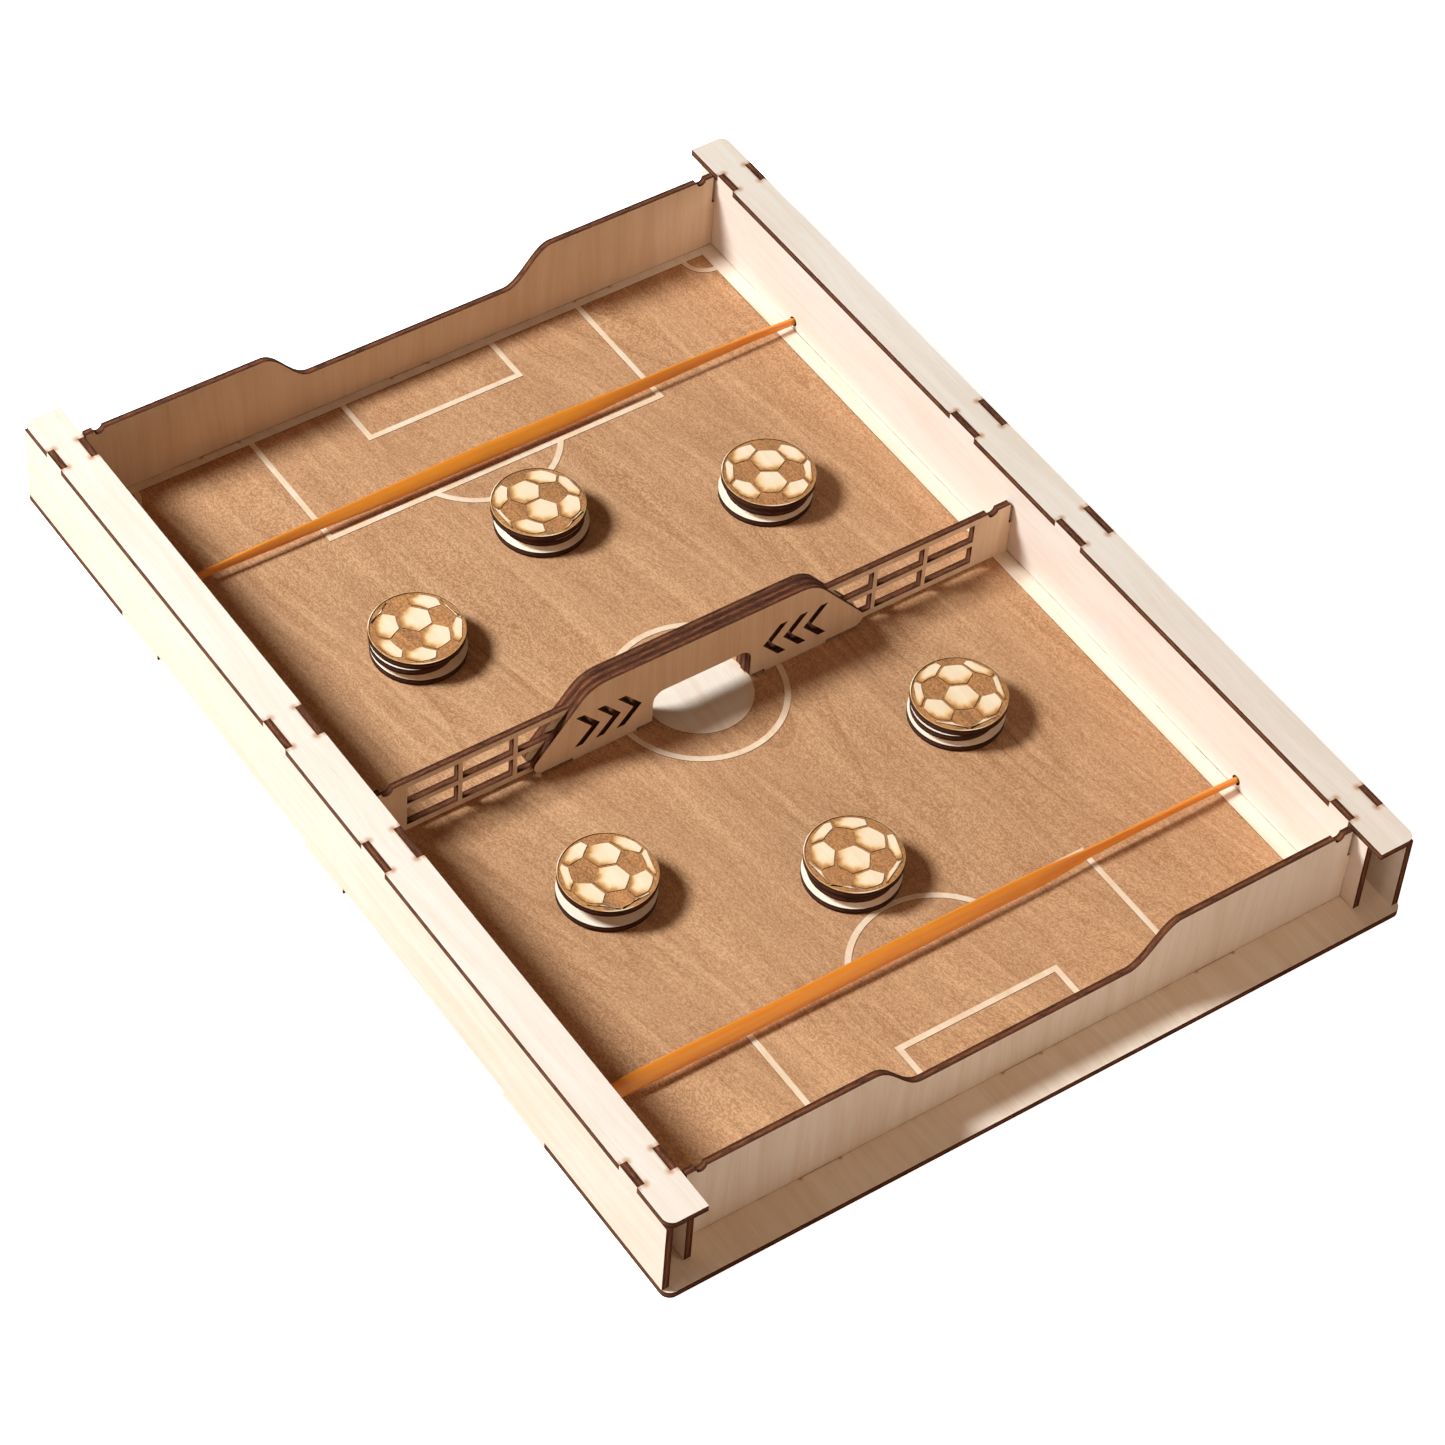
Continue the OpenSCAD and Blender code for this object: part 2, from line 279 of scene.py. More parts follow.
def new_group(name, inputs, outputs):
    """An empty shader node group with its sockets made."""
    tree = bpy.data.node_groups.new(name, "ShaderNodeTree")
    for label, kind, value in inputs:
        socket = tree.interface.new_socket(
            label, in_out="INPUT", socket_type="NodeSocket" + kind
        )
        socket.default_value = value
    for label, kind in outputs:
        tree.interface.new_socket(label, in_out="OUTPUT", socket_type="NodeSocket" + kind)
    given = tree.nodes.new("NodeGroupInput").outputs
    out = tree.nodes.new("NodeGroupOutput").inputs
    return tree, given, out


def place_group(tree, name, inputs):
    """One of the shared groups, placed in a material."""
    node = tree.nodes.new("ShaderNodeGroup")
    node.node_tree = bpy.data.node_groups[name]
    for key, value in inputs.items():
        if isinstance(value, bpy.types.NodeSocket):
            tree.links.new(value, node.inputs[key])
        else:
            node.inputs[key].default_value = value
    return node.outputs


# ---------------------------------------------------------------- shared effects


def make_birch_grain():
    """Veneer with its grain along Y: long streaks, soft figure and short pores."""
    tree, given, out = new_group(
        "birch grain",
        [
            ("Vector", "Vector", (0, 0, 0)),
            ("Light", "Color", (1, 1, 1, 1)),
            ("Dark", "Color", (0.5, 0.5, 0.5, 1)),
            ("Contrast", "Float", 1.0),
        ],
        [("Color", "Color"), ("Height", "Float")],
    )
    drift = noise(tree, stretched(tree, given["Vector"], (16, 5, 16)), 1.0, 2.0)
    moved = shifted_across(tree, given["Vector"], times(tree, drift, 0.03))
    streaks = noise(tree, stretched(tree, moved, (210, 5, 210)), 1.0, 5.0, 0.62)
    fibres = noise(tree, stretched(tree, moved, (1500, 45, 1500)), 1.0, 3.0, 0.6)
    figure = noise(tree, stretched(tree, given["Vector"], (26, 14, 26)), 1.0, 3.0, 0.5, 0.8)
    dots = noise(tree, stretched(tree, moved, (2600, 170, 2600)), 1.0, 1.0)
    pores = spread(tree, dots, 0.60, 0.74)
    fine = plus(tree, times(tree, fibres, 0.25), times(tree, figure, 0.25))
    total = plus(tree, times(tree, streaks, 0.5), fine)
    tone = spread(tree, total, 0.36, 0.66)
    tone = times(tree, tone, given["Contrast"], clamp=True)
    tone = plus(tree, tone, times(tree, pores, 0.25), clamp=True)
    tree.links.new(blend_colours(tree, tone, given["Light"], given["Dark"]), out["Color"])
    depth = plus(tree, times(tree, fibres, 0.6), times(tree, pores, 0.5))
    tree.links.new(minus(tree, 1.0, depth), out["Height"])


def make_engraved_raster():
    """Wood burnt back line by line by a laser: strong grain with a fine uneven speckle."""
    tree, given, out = new_group(
        "engraved raster",
        [
            ("Vector", "Vector", (0, 0, 0)),
            ("Light", "Color", (1, 1, 1, 1)),
            ("Dark", "Color", (0.3, 0.3, 0.3, 1)),
        ],
        [("Color", "Color"), ("Height", "Float")],
    )
    skewed = stretched(tree, given["Vector"], (1, 1, 1), math.radians(-9))
    drift = noise(tree, stretched(tree, skewed, (11, 4, 11)), 1.0, 2.0)
    moved = shifted_across(tree, skewed, times(tree, drift, 0.05))
    # Growth rings cut flat: a few long pointed loops, dark on one side
    hills = noise(tree, stretched(tree, moved, (13, 2.6, 13)), 1.0, 1.0, 0.4, 0.3)
    ring = calc(tree, "FRACT", times(tree, hills, 13.0))
    strength = spread(tree, noise(tree, stretched(tree, skewed, (20, 9, 20)), 1.0, 2.0), 0.42, 0.66)
    rings = times(tree, calc(tree, "POWER", ring, 5.0), strength)
    mottle = noise(tree, stretched(tree, moved, (75, 17, 75)), 1.0, 4.0, 0.6)
    fibres = noise(tree, stretched(tree, moved, (430, 26, 430)), 1.0, 4.0, 0.7)
    bands = noise(tree, stretched(tree, moved, (170, 3.5, 170)), 1.0, 2.0, 0.5)
    pale = spread(tree, bands, 0.54, 0.70)
    dots = noise(tree, stretched(tree, moved, (900, 110, 900)), 1.0, 2.0)
    pores = spread(tree, dots, 0.56, 0.70)
    speckle = noise(tree, stretched(tree, moved, (2300, 850, 2300)), 1.0, 2.0, 0.75)
    sharp = spread(tree, speckle, 0.42, 0.58)
    clouds = times(tree, spread(tree, mottle, 0.30, 0.70), 0.17)
    grain = times(tree, spread(tree, fibres, 0.32, 0.68), 0.24)
    fine = plus(tree, times(tree, sharp, 0.62), times(tree, pores, 0.16))
    total = plus(tree, plus(tree, clouds, grain), fine)
    tone = minus(tree, total, times(tree, pale, 0.22))
    tone = plus(tree, tone, times(tree, rings, 0.38), clamp=True)
    tree.links.new(blend_colours(tree, tone, given["Light"], given["Dark"]), out["Color"])
    depth = plus(tree, times(tree, sharp, 0.6), times(tree, pores, 0.4))
    tree.links.new(minus(tree, 1.0, depth), out["Height"])


def make_laser_cut_edge():
    """Edge of three glued layers, charred by the laser, with uneven marks."""
    tree, given, out = new_group(
        "laser cut edge",
        [
            ("Vector", "Vector", (0, 0, 0)),
            ("Across", "Float", 0.5),
            ("Light", "Color", (0.2, 0.1, 0.05, 1)),
            ("Dark", "Color", (0.02, 0.01, 0.01, 1)),
        ],
        [("Color", "Color"), ("Height", "Float")],
    )
    layer = calc(tree, "FRACT", times(tree, given["Across"], 3.0))
    glue = spread(tree, size_of(tree, minus(tree, layer, 0.5)), 0.30, 0.50)
    # Each layer gets marks of its own
    lift = add(tree, "CombineXYZ", {2: times(tree, given["Across"], 0.02)}).outputs[0]
    lifted = vector_calc(tree, "ADD", given["Vector"], lift).outputs[0]
    long_marks = noise(tree, lifted, 170.0, 4.0, 0.65)
    flecks = noise(tree, lifted, 620.0, 3.0, 0.7)
    from_middle = size_of(tree, minus(tree, given["Across"], 0.5))
    middle = spread(tree, from_middle, 0.12, 0.34, 1.0, 0.0)
    marks = times(tree, spread(tree, long_marks, 0.32, 0.62), 0.65)
    dots = times(tree, spread(tree, flecks, 0.42, 0.64), 0.50)
    lit = times(tree, plus(tree, marks, dots), plus(tree, 0.30, times(tree, middle, 0.70)))
    lit = times(tree, lit, minus(tree, 1.0, times(tree, glue, 0.65)), clamp=True)
    tree.links.new(blend_colours(tree, lit, given["Dark"], given["Light"]), out["Color"])
    tree.links.new(minus(tree, flecks, times(tree, glue, 0.6)), out["Height"])


def make_slot_scorch():
    """Smoke stain round a rectangular cut: a thin line along it and a spot at each corner."""
    tree, given, out = new_group(
        "slot scorch",
        [
            ("Vector", "Vector", (0, 0, 0)),
            ("Centre", "Vector", (0, 0, 0)),
            ("Half Size", "Vector", (0.01, 0.01, 1.0)),
            ("Reach", "Float", 0.002),
        ],
        [("Mask", "Float")],
    )
    mirrored = vector_calc(tree, "ABSOLUTE", given["Vector"]).outputs[0]
    offset = vector_calc(tree, "SUBTRACT", mirrored, given["Centre"]).outputs[0]
    distance = vector_calc(tree, "ABSOLUTE", offset).outputs[0]
    beyond = vector_calc(tree, "SUBTRACT", distance, given["Half Size"]).outputs[0]
    positive = vector_calc(tree, "MAXIMUM", beyond, (0, 0, 0)).outputs[0]
    outside = vector_calc(tree, "LENGTH", positive).outputs["Value"]
    split = add(tree, "SeparateXYZ", {0: beyond}).outputs
    flat = add(tree, "CombineXYZ", {0: split[X], 1: split[Y]}).outputs[0]
    corner = vector_calc(tree, "LENGTH", flat).outputs["Value"]
    cloud = noise(tree, given["Vector"], 420.0, 3.0, 0.6)
    line_reach = times(tree, given["Reach"], 0.35)
    line = times(tree, spread(tree, outside, 0.0, line_reach, 1.0, 0.0), 0.35)
    spot = times(tree, spread(tree, corner, 0.0, given["Reach"], 1.0, 0.0), 0.9)
    uneven = plus(tree, 0.45, times(tree, cloud, 0.9))
    total = times(tree, calc(tree, "MAXIMUM", line, spot), uneven, clamp=True)
    tree.links.new(total, out["Mask"])


# ---------------------------------------------------------------- materials


def sheet_base(
    name, axis, start, grain_along, contrast=1.0, mirrored=True, tint=(1, 1, 1), darkness=1.0
):
    """A plywood sheet's material up to its face and edge colours.

    axis is the sheet's thin direction, start the coordinate of its lower face, and
    grain_along the direction of its veneer. A mirrored material serves a sheet on each
    side of the board."""
    finish = bpy.context.scene.birch_finish
    material = bpy.data.materials.new(name)
    material.use_nodes = True
    tree = material.node_tree
    tree.nodes.clear()
    place = add(tree, "TexCoord").outputs
    turns = {X: (0, 0, math.pi / 2), Y: (0, 0, 0), Z: (math.pi / 2, 0, 0)}
    turned = add(tree, "Mapping", {"Vector": place["Object"], "Rotation": turns[grain_along]})
    where = add(tree, "SeparateXYZ", {0: place["Object"]}).outputs
    facing = add(tree, "SeparateXYZ", {0: place["Normal"]}).outputs
    coordinate = size_of(tree, where[axis]) if mirrored else where[axis]
    across = calc(tree, "DIVIDE", minus(tree, coordinate, start), PLY)
    face = place_group(
        tree,
        "birch grain",
        {
            "Vector": turned.outputs[0],
            "Light": opaque(finish.face_light, tint),
            "Dark": opaque(finish.face_dark, tint),
            "Contrast": contrast,
        },
    )
    edge = place_group(
        tree,
        "laser cut edge",
        {
            "Vector": place["Object"],
            "Across": across,
            "Light": opaque(finish.cut_light, [darkness] * 3),
            "Dark": opaque(finish.cut_dark, [darkness] * 3),
        },
    )
    is_face = calc(tree, "GREATER_THAN", size_of(tree, facing[axis]), FACING)
    return Sheet(material, tree, place, where, facing, face, edge, is_face)


def engraved_wood(sheet, light_share=(1, 1, 1), dark_share=(1, 1, 1)):
    """The colour and height of the engraved ground, in a share of the field's colours."""
    finish = bpy.context.scene.birch_finish
    return place_group(
        sheet.tree,
        "engraved raster",
        {
            "Vector": sheet.place["Object"],
            "Light": opaque(finish.field_light, light_share),
            "Dark": opaque(finish.field_dark, dark_share),
        },
    )


def scorch_slots(sheet, colour, slots):
    """The colour with smoke round each slot: (centre, half size, reach)."""
    finish = bpy.context.scene.birch_finish
    for centre, half, reach in slots:
        mask = place_group(
            sheet.tree,
            "slot scorch",
            {
                "Vector": sheet.place["Object"],
                "Centre": centre,
                "Half Size": half,
                "Reach": reach,
            },
        )["Mask"]
        colour = blend_colours(sheet.tree, mask, colour, opaque(finish.scorch))
    return colour


def finish_wood(sheet, colour, height, depth=0.08 * MM):
    """The wood's shader: matt and a little uneven, duller where it is charred."""
    tree = sheet.tree
    colour = blend_colours(tree, sheet.is_face, sheet.edge["Color"], colour)
    bump = add(tree, "Bump", {"Strength": 0.55, "Distance": depth, "Height": height})
    rough = minus(tree, 0.94, times(tree, sheet.is_face, 0.26))
    shader = add(
        tree,
        "BsdfPrincipled",
        {
            "Base Color": colour,
            "Roughness": rough,
            "Normal": bump.outputs[0],
            "Specular IOR Level": 0.20,
        },
    )
    tree.links.new(shader.outputs[0], add(tree, "OutputMaterial").inputs[0])
    return sheet.material


def sheet_material(name, axis, start, grain_along, scorches=(), stain=(), **looks):
    """A plain plywood sheet. scorches are (centre, half size, reach) of the slots cut in it,
    and stain is (axis, coordinate, reach, strength, colour) of dark lines along joints; the walls use it for
    painted contact shade at their foot."""
    sheet = sheet_base(name, axis, start, grain_along, **looks)
    tree = sheet.tree
    colour = scorch_slots(sheet, sheet.face["Color"], scorches)
    # Each line darkens the colour near one coordinate; the walls use it for painted contact shade at their
    # foot.
    for line_axis, value, reach, strength, shade in stain:
        away = size_of(tree, minus(tree, size_of(tree, sheet.where[line_axis]), value))
        cloud = noise(tree, sheet.place["Object"], 160.0, 3.0, 0.6)
        near = spread(tree, away, 0.0, reach, strength, 0.0)
        mask = times(tree, near, spread(tree, cloud, 0.3, 0.7, 0.3, 1.0), clamp=True)
        colour = blend_colours(tree, mask, colour, opaque(shade))
    height = pick_height(tree, sheet.is_face, sheet.edge["Height"], sheet.face["Height"])
    return finish_wood(sheet, colour, height)


def pitch_material():
    """The base board: pale where the veneer stands, brown and rough where it is engraved."""
    sheet = sheet_base(
        "birch pitch board", Z, 0.0, Y, contrast=0.8, mirrored=False, tint=(0.99, 0.94, 0.88)
    )
    tree, where = sheet.tree, sheet.where
    field = engraved_wood(sheet)
    colour = scorch_slots(sheet, sheet.face["Color"], FOOT_SLOTS)
    # Smoke stains the lines that stand in the engraved field, and the rim of the centre disc
    across = minus(tree, where[X], FIELD_SHIFT)
    fades = [
        spread(tree, size_of(tree, value), half - 0.5 * MM, half + 1.3 * MM, 1.0, 0.0)
        for value, half in ((across, FIELD_HALF_X), (where[Y], FIELD_HALF_Y))
    ]
    flat = add(tree, "CombineXYZ", {0: across, 1: where[Y]}).outputs[0]
    from_middle = vector_calc(tree, "LENGTH", flat).outputs["Value"]
    off_disc = spread(tree, from_middle, SPOT_RADIUS - 5.0 * MM, SPOT_RADIUS + 0.5 * MM)
    cloud = noise(tree, sheet.place["Object"], 90.0, 3.0, 0.6)
    uneven = spread(tree, cloud, 0.25, 0.75, 0.30, 0.85)
    smoked = times(tree, times(tree, *fades), times(tree, off_disc, uneven))
    darker = blend_colours(tree, 1.0, colour, (0.90, 0.72, 0.52, 1), "MULTIPLY")
    colour = blend_colours(tree, smoked, colour, darker)
    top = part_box("base_board")[1].z
    below = calc(tree, "LESS_THAN", where[Z], top - 0.1 * MM)
    upward = calc(tree, "GREATER_THAN", sheet.facing[Z], FACING)
    sunk = times(tree, below, upward)
    colour = blend_colours(tree, sunk, colour, field["Color"])
    height = pick_height(tree, sunk, sheet.face["Height"], field["Height"])
    return finish_wood(sheet, colour, height, 0.25 * MM)


def disc_material(name, low, top_carved=False):
    """A puck's disc: pale faces and a charred rim, darkened further as painted shade of the grooves between
    the discs, and for the top one a carved ball.
    """
    ball = bpy.context.scene.ball_face
    tint = (1.0, 0.89, 0.70) if top_carved else (0.97, 0.92, 0.85)
    # The cut-edge colours are taken at 0.42 of the sheets': partly the laser's char and partly painted shade
    # of the dark grooves between the discs.
    sheet = sheet_base(
        name, Z, low, Y, contrast=0.6, mirrored=False, darkness=0.42, tint=tint
    )
    tree = sheet.tree
    colour = sheet.face["Color"]
    height = sheet.face["Height"]
    if top_carved:
        field = engraved_wood(sheet, (0.92, 0.72, 0.48), (0.60, 0.60, 0.60))
        burn = add(tree, "Attribute", attribute_name="scorch", attribute_type="GEOMETRY")
        cloud = noise(tree, sheet.place["Object"], 500.0, 3.0, 0.6)
        uneven = spread(tree, cloud, 0.2, 0.6, 0.7, 1.0)
        mask = times(tree, burn.outputs["Fac"], uneven, clamp=True)
        burnt = spread(tree, mask, 0.35, 1.0)
        toast = blend_colours(tree, burnt, (0.84, 0.50, 0.19, 1), (0.40, 0.16, 0.045, 1))
        colour = blend_colours(tree, spread(tree, mask, 0.02, 0.75), colour, toast)
        ground = calc(tree, "LESS_THAN", sheet.where[Z], low + PLY - 0.5 * ball.carve)
        colour = blend_colours(tree, ground, colour, field["Color"])
        height = pick_height(tree, ground, height, field["Height"])
    height = pick_height(tree, sheet.is_face, sheet.edge["Height"], height)
    return finish_wood(sheet, colour, height)


def rubber_material():
    """Amber rubber that glows a little where light goes through its edges, with painted shade deepening the
    band's upper edge.
    """
    shape = bpy.context.scene.band_shape
    material = bpy.data.materials.new("amber rubber")
    material.use_nodes = True
    tree = material.node_tree
    tree.nodes.clear()
    place = add(tree, "TexCoord").outputs
    across = add(tree, "Attribute", attribute_name="across", attribute_type="GEOMETRY")
    drawn = noise(tree, stretched(tree, place["Object"], (24, 900, 900)), 1.0, 4.0, 0.6)
    dust = spread(tree, noise(tree, place["Object"], 900.0, 3.0, 0.7), 0.60, 0.78)
    streaks = times(tree, spread(tree, drawn, 0.3, 0.7), 0.45)
    # The deeper rubber colour comes partly from the drawn streaks, which the rubber has, and partly from
    # across, which paints shade along the band's upper edge.
    tone = plus(tree, streaks, times(tree, across.outputs["Fac"], 0.55), clamp=True)
    colour = blend_colours(tree, tone, opaque(shape.amber), opaque(shape.amber_painted_shade))
    colour = blend_colours(tree, times(tree, dust, 0.12), colour, (0.86, 0.60, 0.28, 1))
    bump = add(tree, "Bump", {"Strength": 0.35, "Distance": 0.08 * MM, "Height": drawn})
    rough = spread(tree, drawn, 0.3, 0.7, 0.32, 0.46)
    shader = add(
        tree,
        "BsdfPrincipled",
        {
            "Base Color": colour,
            "Roughness": rough,
            "Normal": bump.outputs[0],
            "IOR": 1.52,
            "Subsurface Weight": 0.35,
            "Subsurface Radius": (0.0020, 0.0008, 0.0002),
            "Subsurface Scale": 1.0,
        },
    )
    tree.links.new(shader.outputs[0], add(tree, "OutputMaterial").inputs[0])
    return material


def paper_material():
    """Seamless white paper of the stage."""
    material = bpy.data.materials.new("white paper")
    material.use_nodes = True
    tree = material.node_tree
    tree.nodes.clear()
    place = add(tree, "TexCoord").outputs
    cloud = noise(tree, place["Object"], 3.0, 2.0)
    seen = add(tree, "LightPath").outputs["Is Camera Ray"]
    white = blend_colours(tree, cloud, (0.93, 0.93, 0.93, 1), (0.96, 0.96, 0.96, 1))
    # What the paper throws back at the board is weaker and warmer than what is seen of it
    colour = blend_colours(tree, seen, (0.66, 0.54, 0.44, 1), white)
    shader = add(
        tree,
        "BsdfPrincipled",
        {
            "Base Color": colour,
            "Roughness": 0.9,
            "Emission Color": (1, 1, 1, 1),
            "Emission Strength": times(tree, seen, 0.92),
        },
    )
    tree.links.new(shader.outputs[0], add(tree, "OutputMaterial").inputs[0])
    return material


def dress(node, material):
    """Gives a CAD node's slots one material."""
    mesh = NODES[node].data
    if not mesh.materials:
        mesh.materials.append(material)
    for index in range(len(mesh.materials)):
        mesh.materials[index] = material


# ---------------------------------------------------------------- modelling helpers


def start_fresh():
    """Object mode with nothing selected."""
    if bpy.context.object and bpy.context.object.mode != "OBJECT":
        bpy.ops.object.mode_set(mode="OBJECT")
    bpy.ops.object.select_all(action="DESELECT")


def named(name):
    """The active object, named, with its place in its mesh."""
    piece = bpy.context.object
    piece.name = piece.data.name = name
    bpy.ops.object.transform_apply(location=True, rotation=True, scale=True)
    return piece


def edit(piece, mode):
    """Edit mode on one piece, in one select mode."""
    start_fresh()
    piece.select_set(True)
    bpy.context.view_layer.objects.active = piece
    bpy.ops.object.mode_set(mode="EDIT")
    bpy.ops.mesh.select_mode(type=mode)
    bpy.ops.mesh.select_all(action="DESELECT")


def pick(piece, kind, test):
    """Selects the faces, edges or vertices that pass a test, from edit mode."""
    bpy.ops.object.mode_set(mode="OBJECT")
    mesh = piece.data
    for vertex in mesh.vertices:
        vertex.select = False
    for edge in mesh.edges:
        edge.select = False
    for face in mesh.polygons:
        face.select = False
    chosen = [part for part in getattr(mesh, kind) if test(part)]
    for part in chosen:
        part.select = True
    bpy.ops.object.mode_set(mode="EDIT")
    return len(chosen)


def join(pieces, name):
    start_fresh()
    for piece in pieces:
        piece.select_set(True)
    bpy.context.view_layer.objects.active = pieces[0]
    bpy.ops.object.join()
    return named(name)


def copied(piece, name, place):
    """A copy with its own mesh, moved in the mesh to its place."""
    copy = piece.copy()
    copy.data = piece.data.copy()
    copy.data.transform(Matrix.Translation(place))
    copy.name = copy.data.name = name
    bpy.context.scene.collection.objects.link(copy)
    return copy


def remove(piece):
    bpy.data.objects.remove(piece, do_unlink=True)


def give_attribute(piece, name, value_of):
    """A value on each vertex that the piece's material reads."""
    attributes = piece.data.attributes
    attribute = attributes.get(name) or attributes.new(name, "FLOAT", "POINT")
    for vertex in piece.data.vertices:
        attribute.data[vertex.index].value = value_of(vertex)


# ---------------------------------------------------------------- pucks


def model_disc(radius):
    """One laser-cut disc with its underside at z = 0 and its two rims a little rounded."""
    start_fresh()
    bpy.ops.mesh.primitive_cylinder_add(
        vertices=96, radius=radius, depth=PLY, location=(0, 0, PLY / 2)
    )
    disc = named("disc")
    edit(disc, "EDGE")
    corners = disc.data.vertices
    pick(
        disc,
        "edges",
        lambda e: abs(corners[e.vertices[0]].co.z - corners[e.vertices[1]].co.z) < LEVEL,
    )
    bpy.ops.mesh.bevel(offset=0.14 * MM, segments=2, affect="EDGES")
    bpy.ops.object.mode_set(mode="OBJECT")
    return disc


def model_ball_disc(radius, ball):
    """A top disc whose upper face is sunk, leaving a thin ring at the rim."""
    disc = model_disc(radius)
    edit(disc, "FACE")
    pick(disc, "polygons", lambda f: f.normal.z > 0.9 and f.center.z > PLY * 0.99)
    bpy.ops.mesh.inset(thickness=ball.rim, depth=0.0)
    bpy.ops.mesh.extrude_region_move(TRANSFORM_OT_translate={"value": (0, 0, -ball.carve)})
    bpy.ops.object.mode_set(mode="OBJECT")
    # The ring is browned most of the way round and pale in a few short stretches
    give_attribute(
        disc,
        "scorch",
        lambda v: 0.75 - 0.75 * max(0.0, math.sin(3 * math.atan2(v.co.y, v.co.x) + 1.0)) ** 3,
    )
    return disc


# Share of a patch's size at each ring of vertices inside its edge, and of the stain left there
STAIN_RINGS = ((0.88, 0.86), (0.84, 0.80), (0.76, 0.66), (0.60, 0.35))
PATCH_STEPS = 3  # cuts along each edge of a patch
SLIVER = 5e-6  # area of the smallest patch that is kept, in square metres
OTHER, PATCH = 0, 1  # marks of faces while a ball is modelled


def model_ball_patches(radius, turn, wind, ball):
    """The hexagons of a plain football seen from one side, flattened onto a disc.

    turn is how the ball lies, and wind the side that the smoke drifted to."""
    start_fresh()
    bpy.ops.mesh.primitive_ico_sphere_add(subdivisions=1, radius=radius, location=(0, 0, 0))
    patches = bpy.context.object
    edit(patches, "VERT")
    bpy.ops.mesh.select_all(action="SELECT")
    bpy.ops.mesh.bevel(offset_type="PERCENT", offset_pct=100 / 3, affect="VERTICES", segments=1)
    bpy.ops.object.mode_set(mode="OBJECT")
    for face in patches.data.polygons:
        face.material_index = PATCH if len(face.vertices) == 6 else OTHER
    patches.data.materials.append(None)
    patches.data.materials.append(None)
    edit(patches, "EDGE")
    bpy.ops.mesh.select_all(action="SELECT")
    bpy.ops.mesh.subdivide(number_cuts=PATCH_STEPS, ngon=True)
    bpy.ops.object.mode_set(mode="OBJECT")
    patches.rotation_euler = turn
    bpy.ops.object.transform_apply(rotation=True)
    for vertex in patches.data.vertices:
        vertex.co = vertex.co.normalized() * radius
    edit(patches, "FACE")
    bpy.ops.mesh.select_all(action="SELECT")
    bpy.ops.mesh.bisect(
        plane_co=(0, 0, radius * 0.12), plane_no=(0, 0, 1), clear_inner=True
    )
    pick(patches, "polygons", lambda f: f.material_index != PATCH)
    bpy.ops.mesh.delete(type="FACE")
    bpy.ops.object.mode_set(mode="OBJECT")
    # Flatten, so that the hexagons near the rim are drawn narrow
    widest = max(math.hypot(v.co.x, v.co.y) for v in patches.data.vertices)
    for vertex in patches.data.vertices:
        vertex.co = (vertex.co.x * radius / widest, vertex.co.y * radius / widest, 0)
    edit(patches, "FACE")
    pick(patches, "polygons", lambda f: f.area < SLIVER)
    bpy.ops.mesh.delete(type="FACE")
    bpy.ops.mesh.select_all(action="SELECT")
    bpy.ops.mesh.normals_make_consistent(inside=False)
    bpy.ops.mesh.inset(thickness=ball.seam, use_individual=True, use_even_offset=True)
    bpy.ops.mesh.select_all(action="INVERT")
    bpy.ops.mesh.delete(type="FACE")
    bpy.ops.object.mode_set(mode="OBJECT")
    if patches.data.polygons[0].normal.z < 0:
        patches.data.flip_normals()
    centres = {}
    for face in patches.data.polygons:
        for index in face.vertices:
            centres[index] = (face.center.copy(), math.sqrt(face.area))
    drift = Vector((math.cos(wind), math.sin(wind), 0))
    burn = {}
    for index, (centre, size) in centres.items():
        side = (patches.data.vertices[index].co - centre).dot(drift) / size
        burn[index] = min(1.0, max(0.0, 0.60 + 1.30 * side))
    give_attribute(patches, "scorch", lambda v: burn[v.index])
    for face in patches.data.polygons:
        face.material_index = PATCH
    for share, stain in STAIN_RINGS:
        edit(patches, "FACE")
        pick(patches, "polygons", lambda f: f.material_index == PATCH)
        bpy.ops.mesh.inset(thickness=0.0, use_individual=True)
        bpy.ops.object.mode_set(mode="OBJECT")
        draw_ring_in(patches, share, stain)
    edit(patches, "FACE")
    bpy.ops.mesh.select_all(action="SELECT")
    foot = 0.05 * MM  # how far the patches stand in the disc
    bpy.ops.mesh.extrude_region_move(
        TRANSFORM_OT_translate={"value": (0, 0, ball.carve + foot)}
    )
    bpy.ops.mesh.select_all(action="SELECT")
    bpy.ops.mesh.normals_make_consistent(inside=False)
    bpy.ops.object.mode_set(mode="OBJECT")
    patches.data.transform(Matrix.Translation((0, 0, PLY - ball.carve - foot)))
    patches.data.materials.clear()
    return patches


def draw_ring_in(patches, share, stain):
    """Shrinks the selected inner faces about their middles, leaving a ring with less stain."""
    mesh = patches.data
    attribute = mesh.attributes["scorch"]
    inner = [face for face in mesh.polygons if face.select]
    for face in mesh.polygons:
        face.material_index = OTHER
    for face in inner:
        face.material_index = PATCH
        middle = face.center.copy()
        for index in face.vertices:
            vertex = mesh.vertices[index]
            vertex.co = middle + (vertex.co - middle) * share
            attribute.data[index].value *= stain


# How the ball of each puck lies, and the side its smoke drifted to, in degrees
BALL_TURNS = {
    1: ((12, 24, 40), 200),
    2: ((31, -8, 75), 215),
    3: ((-20, 14, 150), 170),
    4: ((8, 35, 10), 235),
    5: ((26, 18, 205), 185),
    6: ((-14, -27, 300), 195),
}


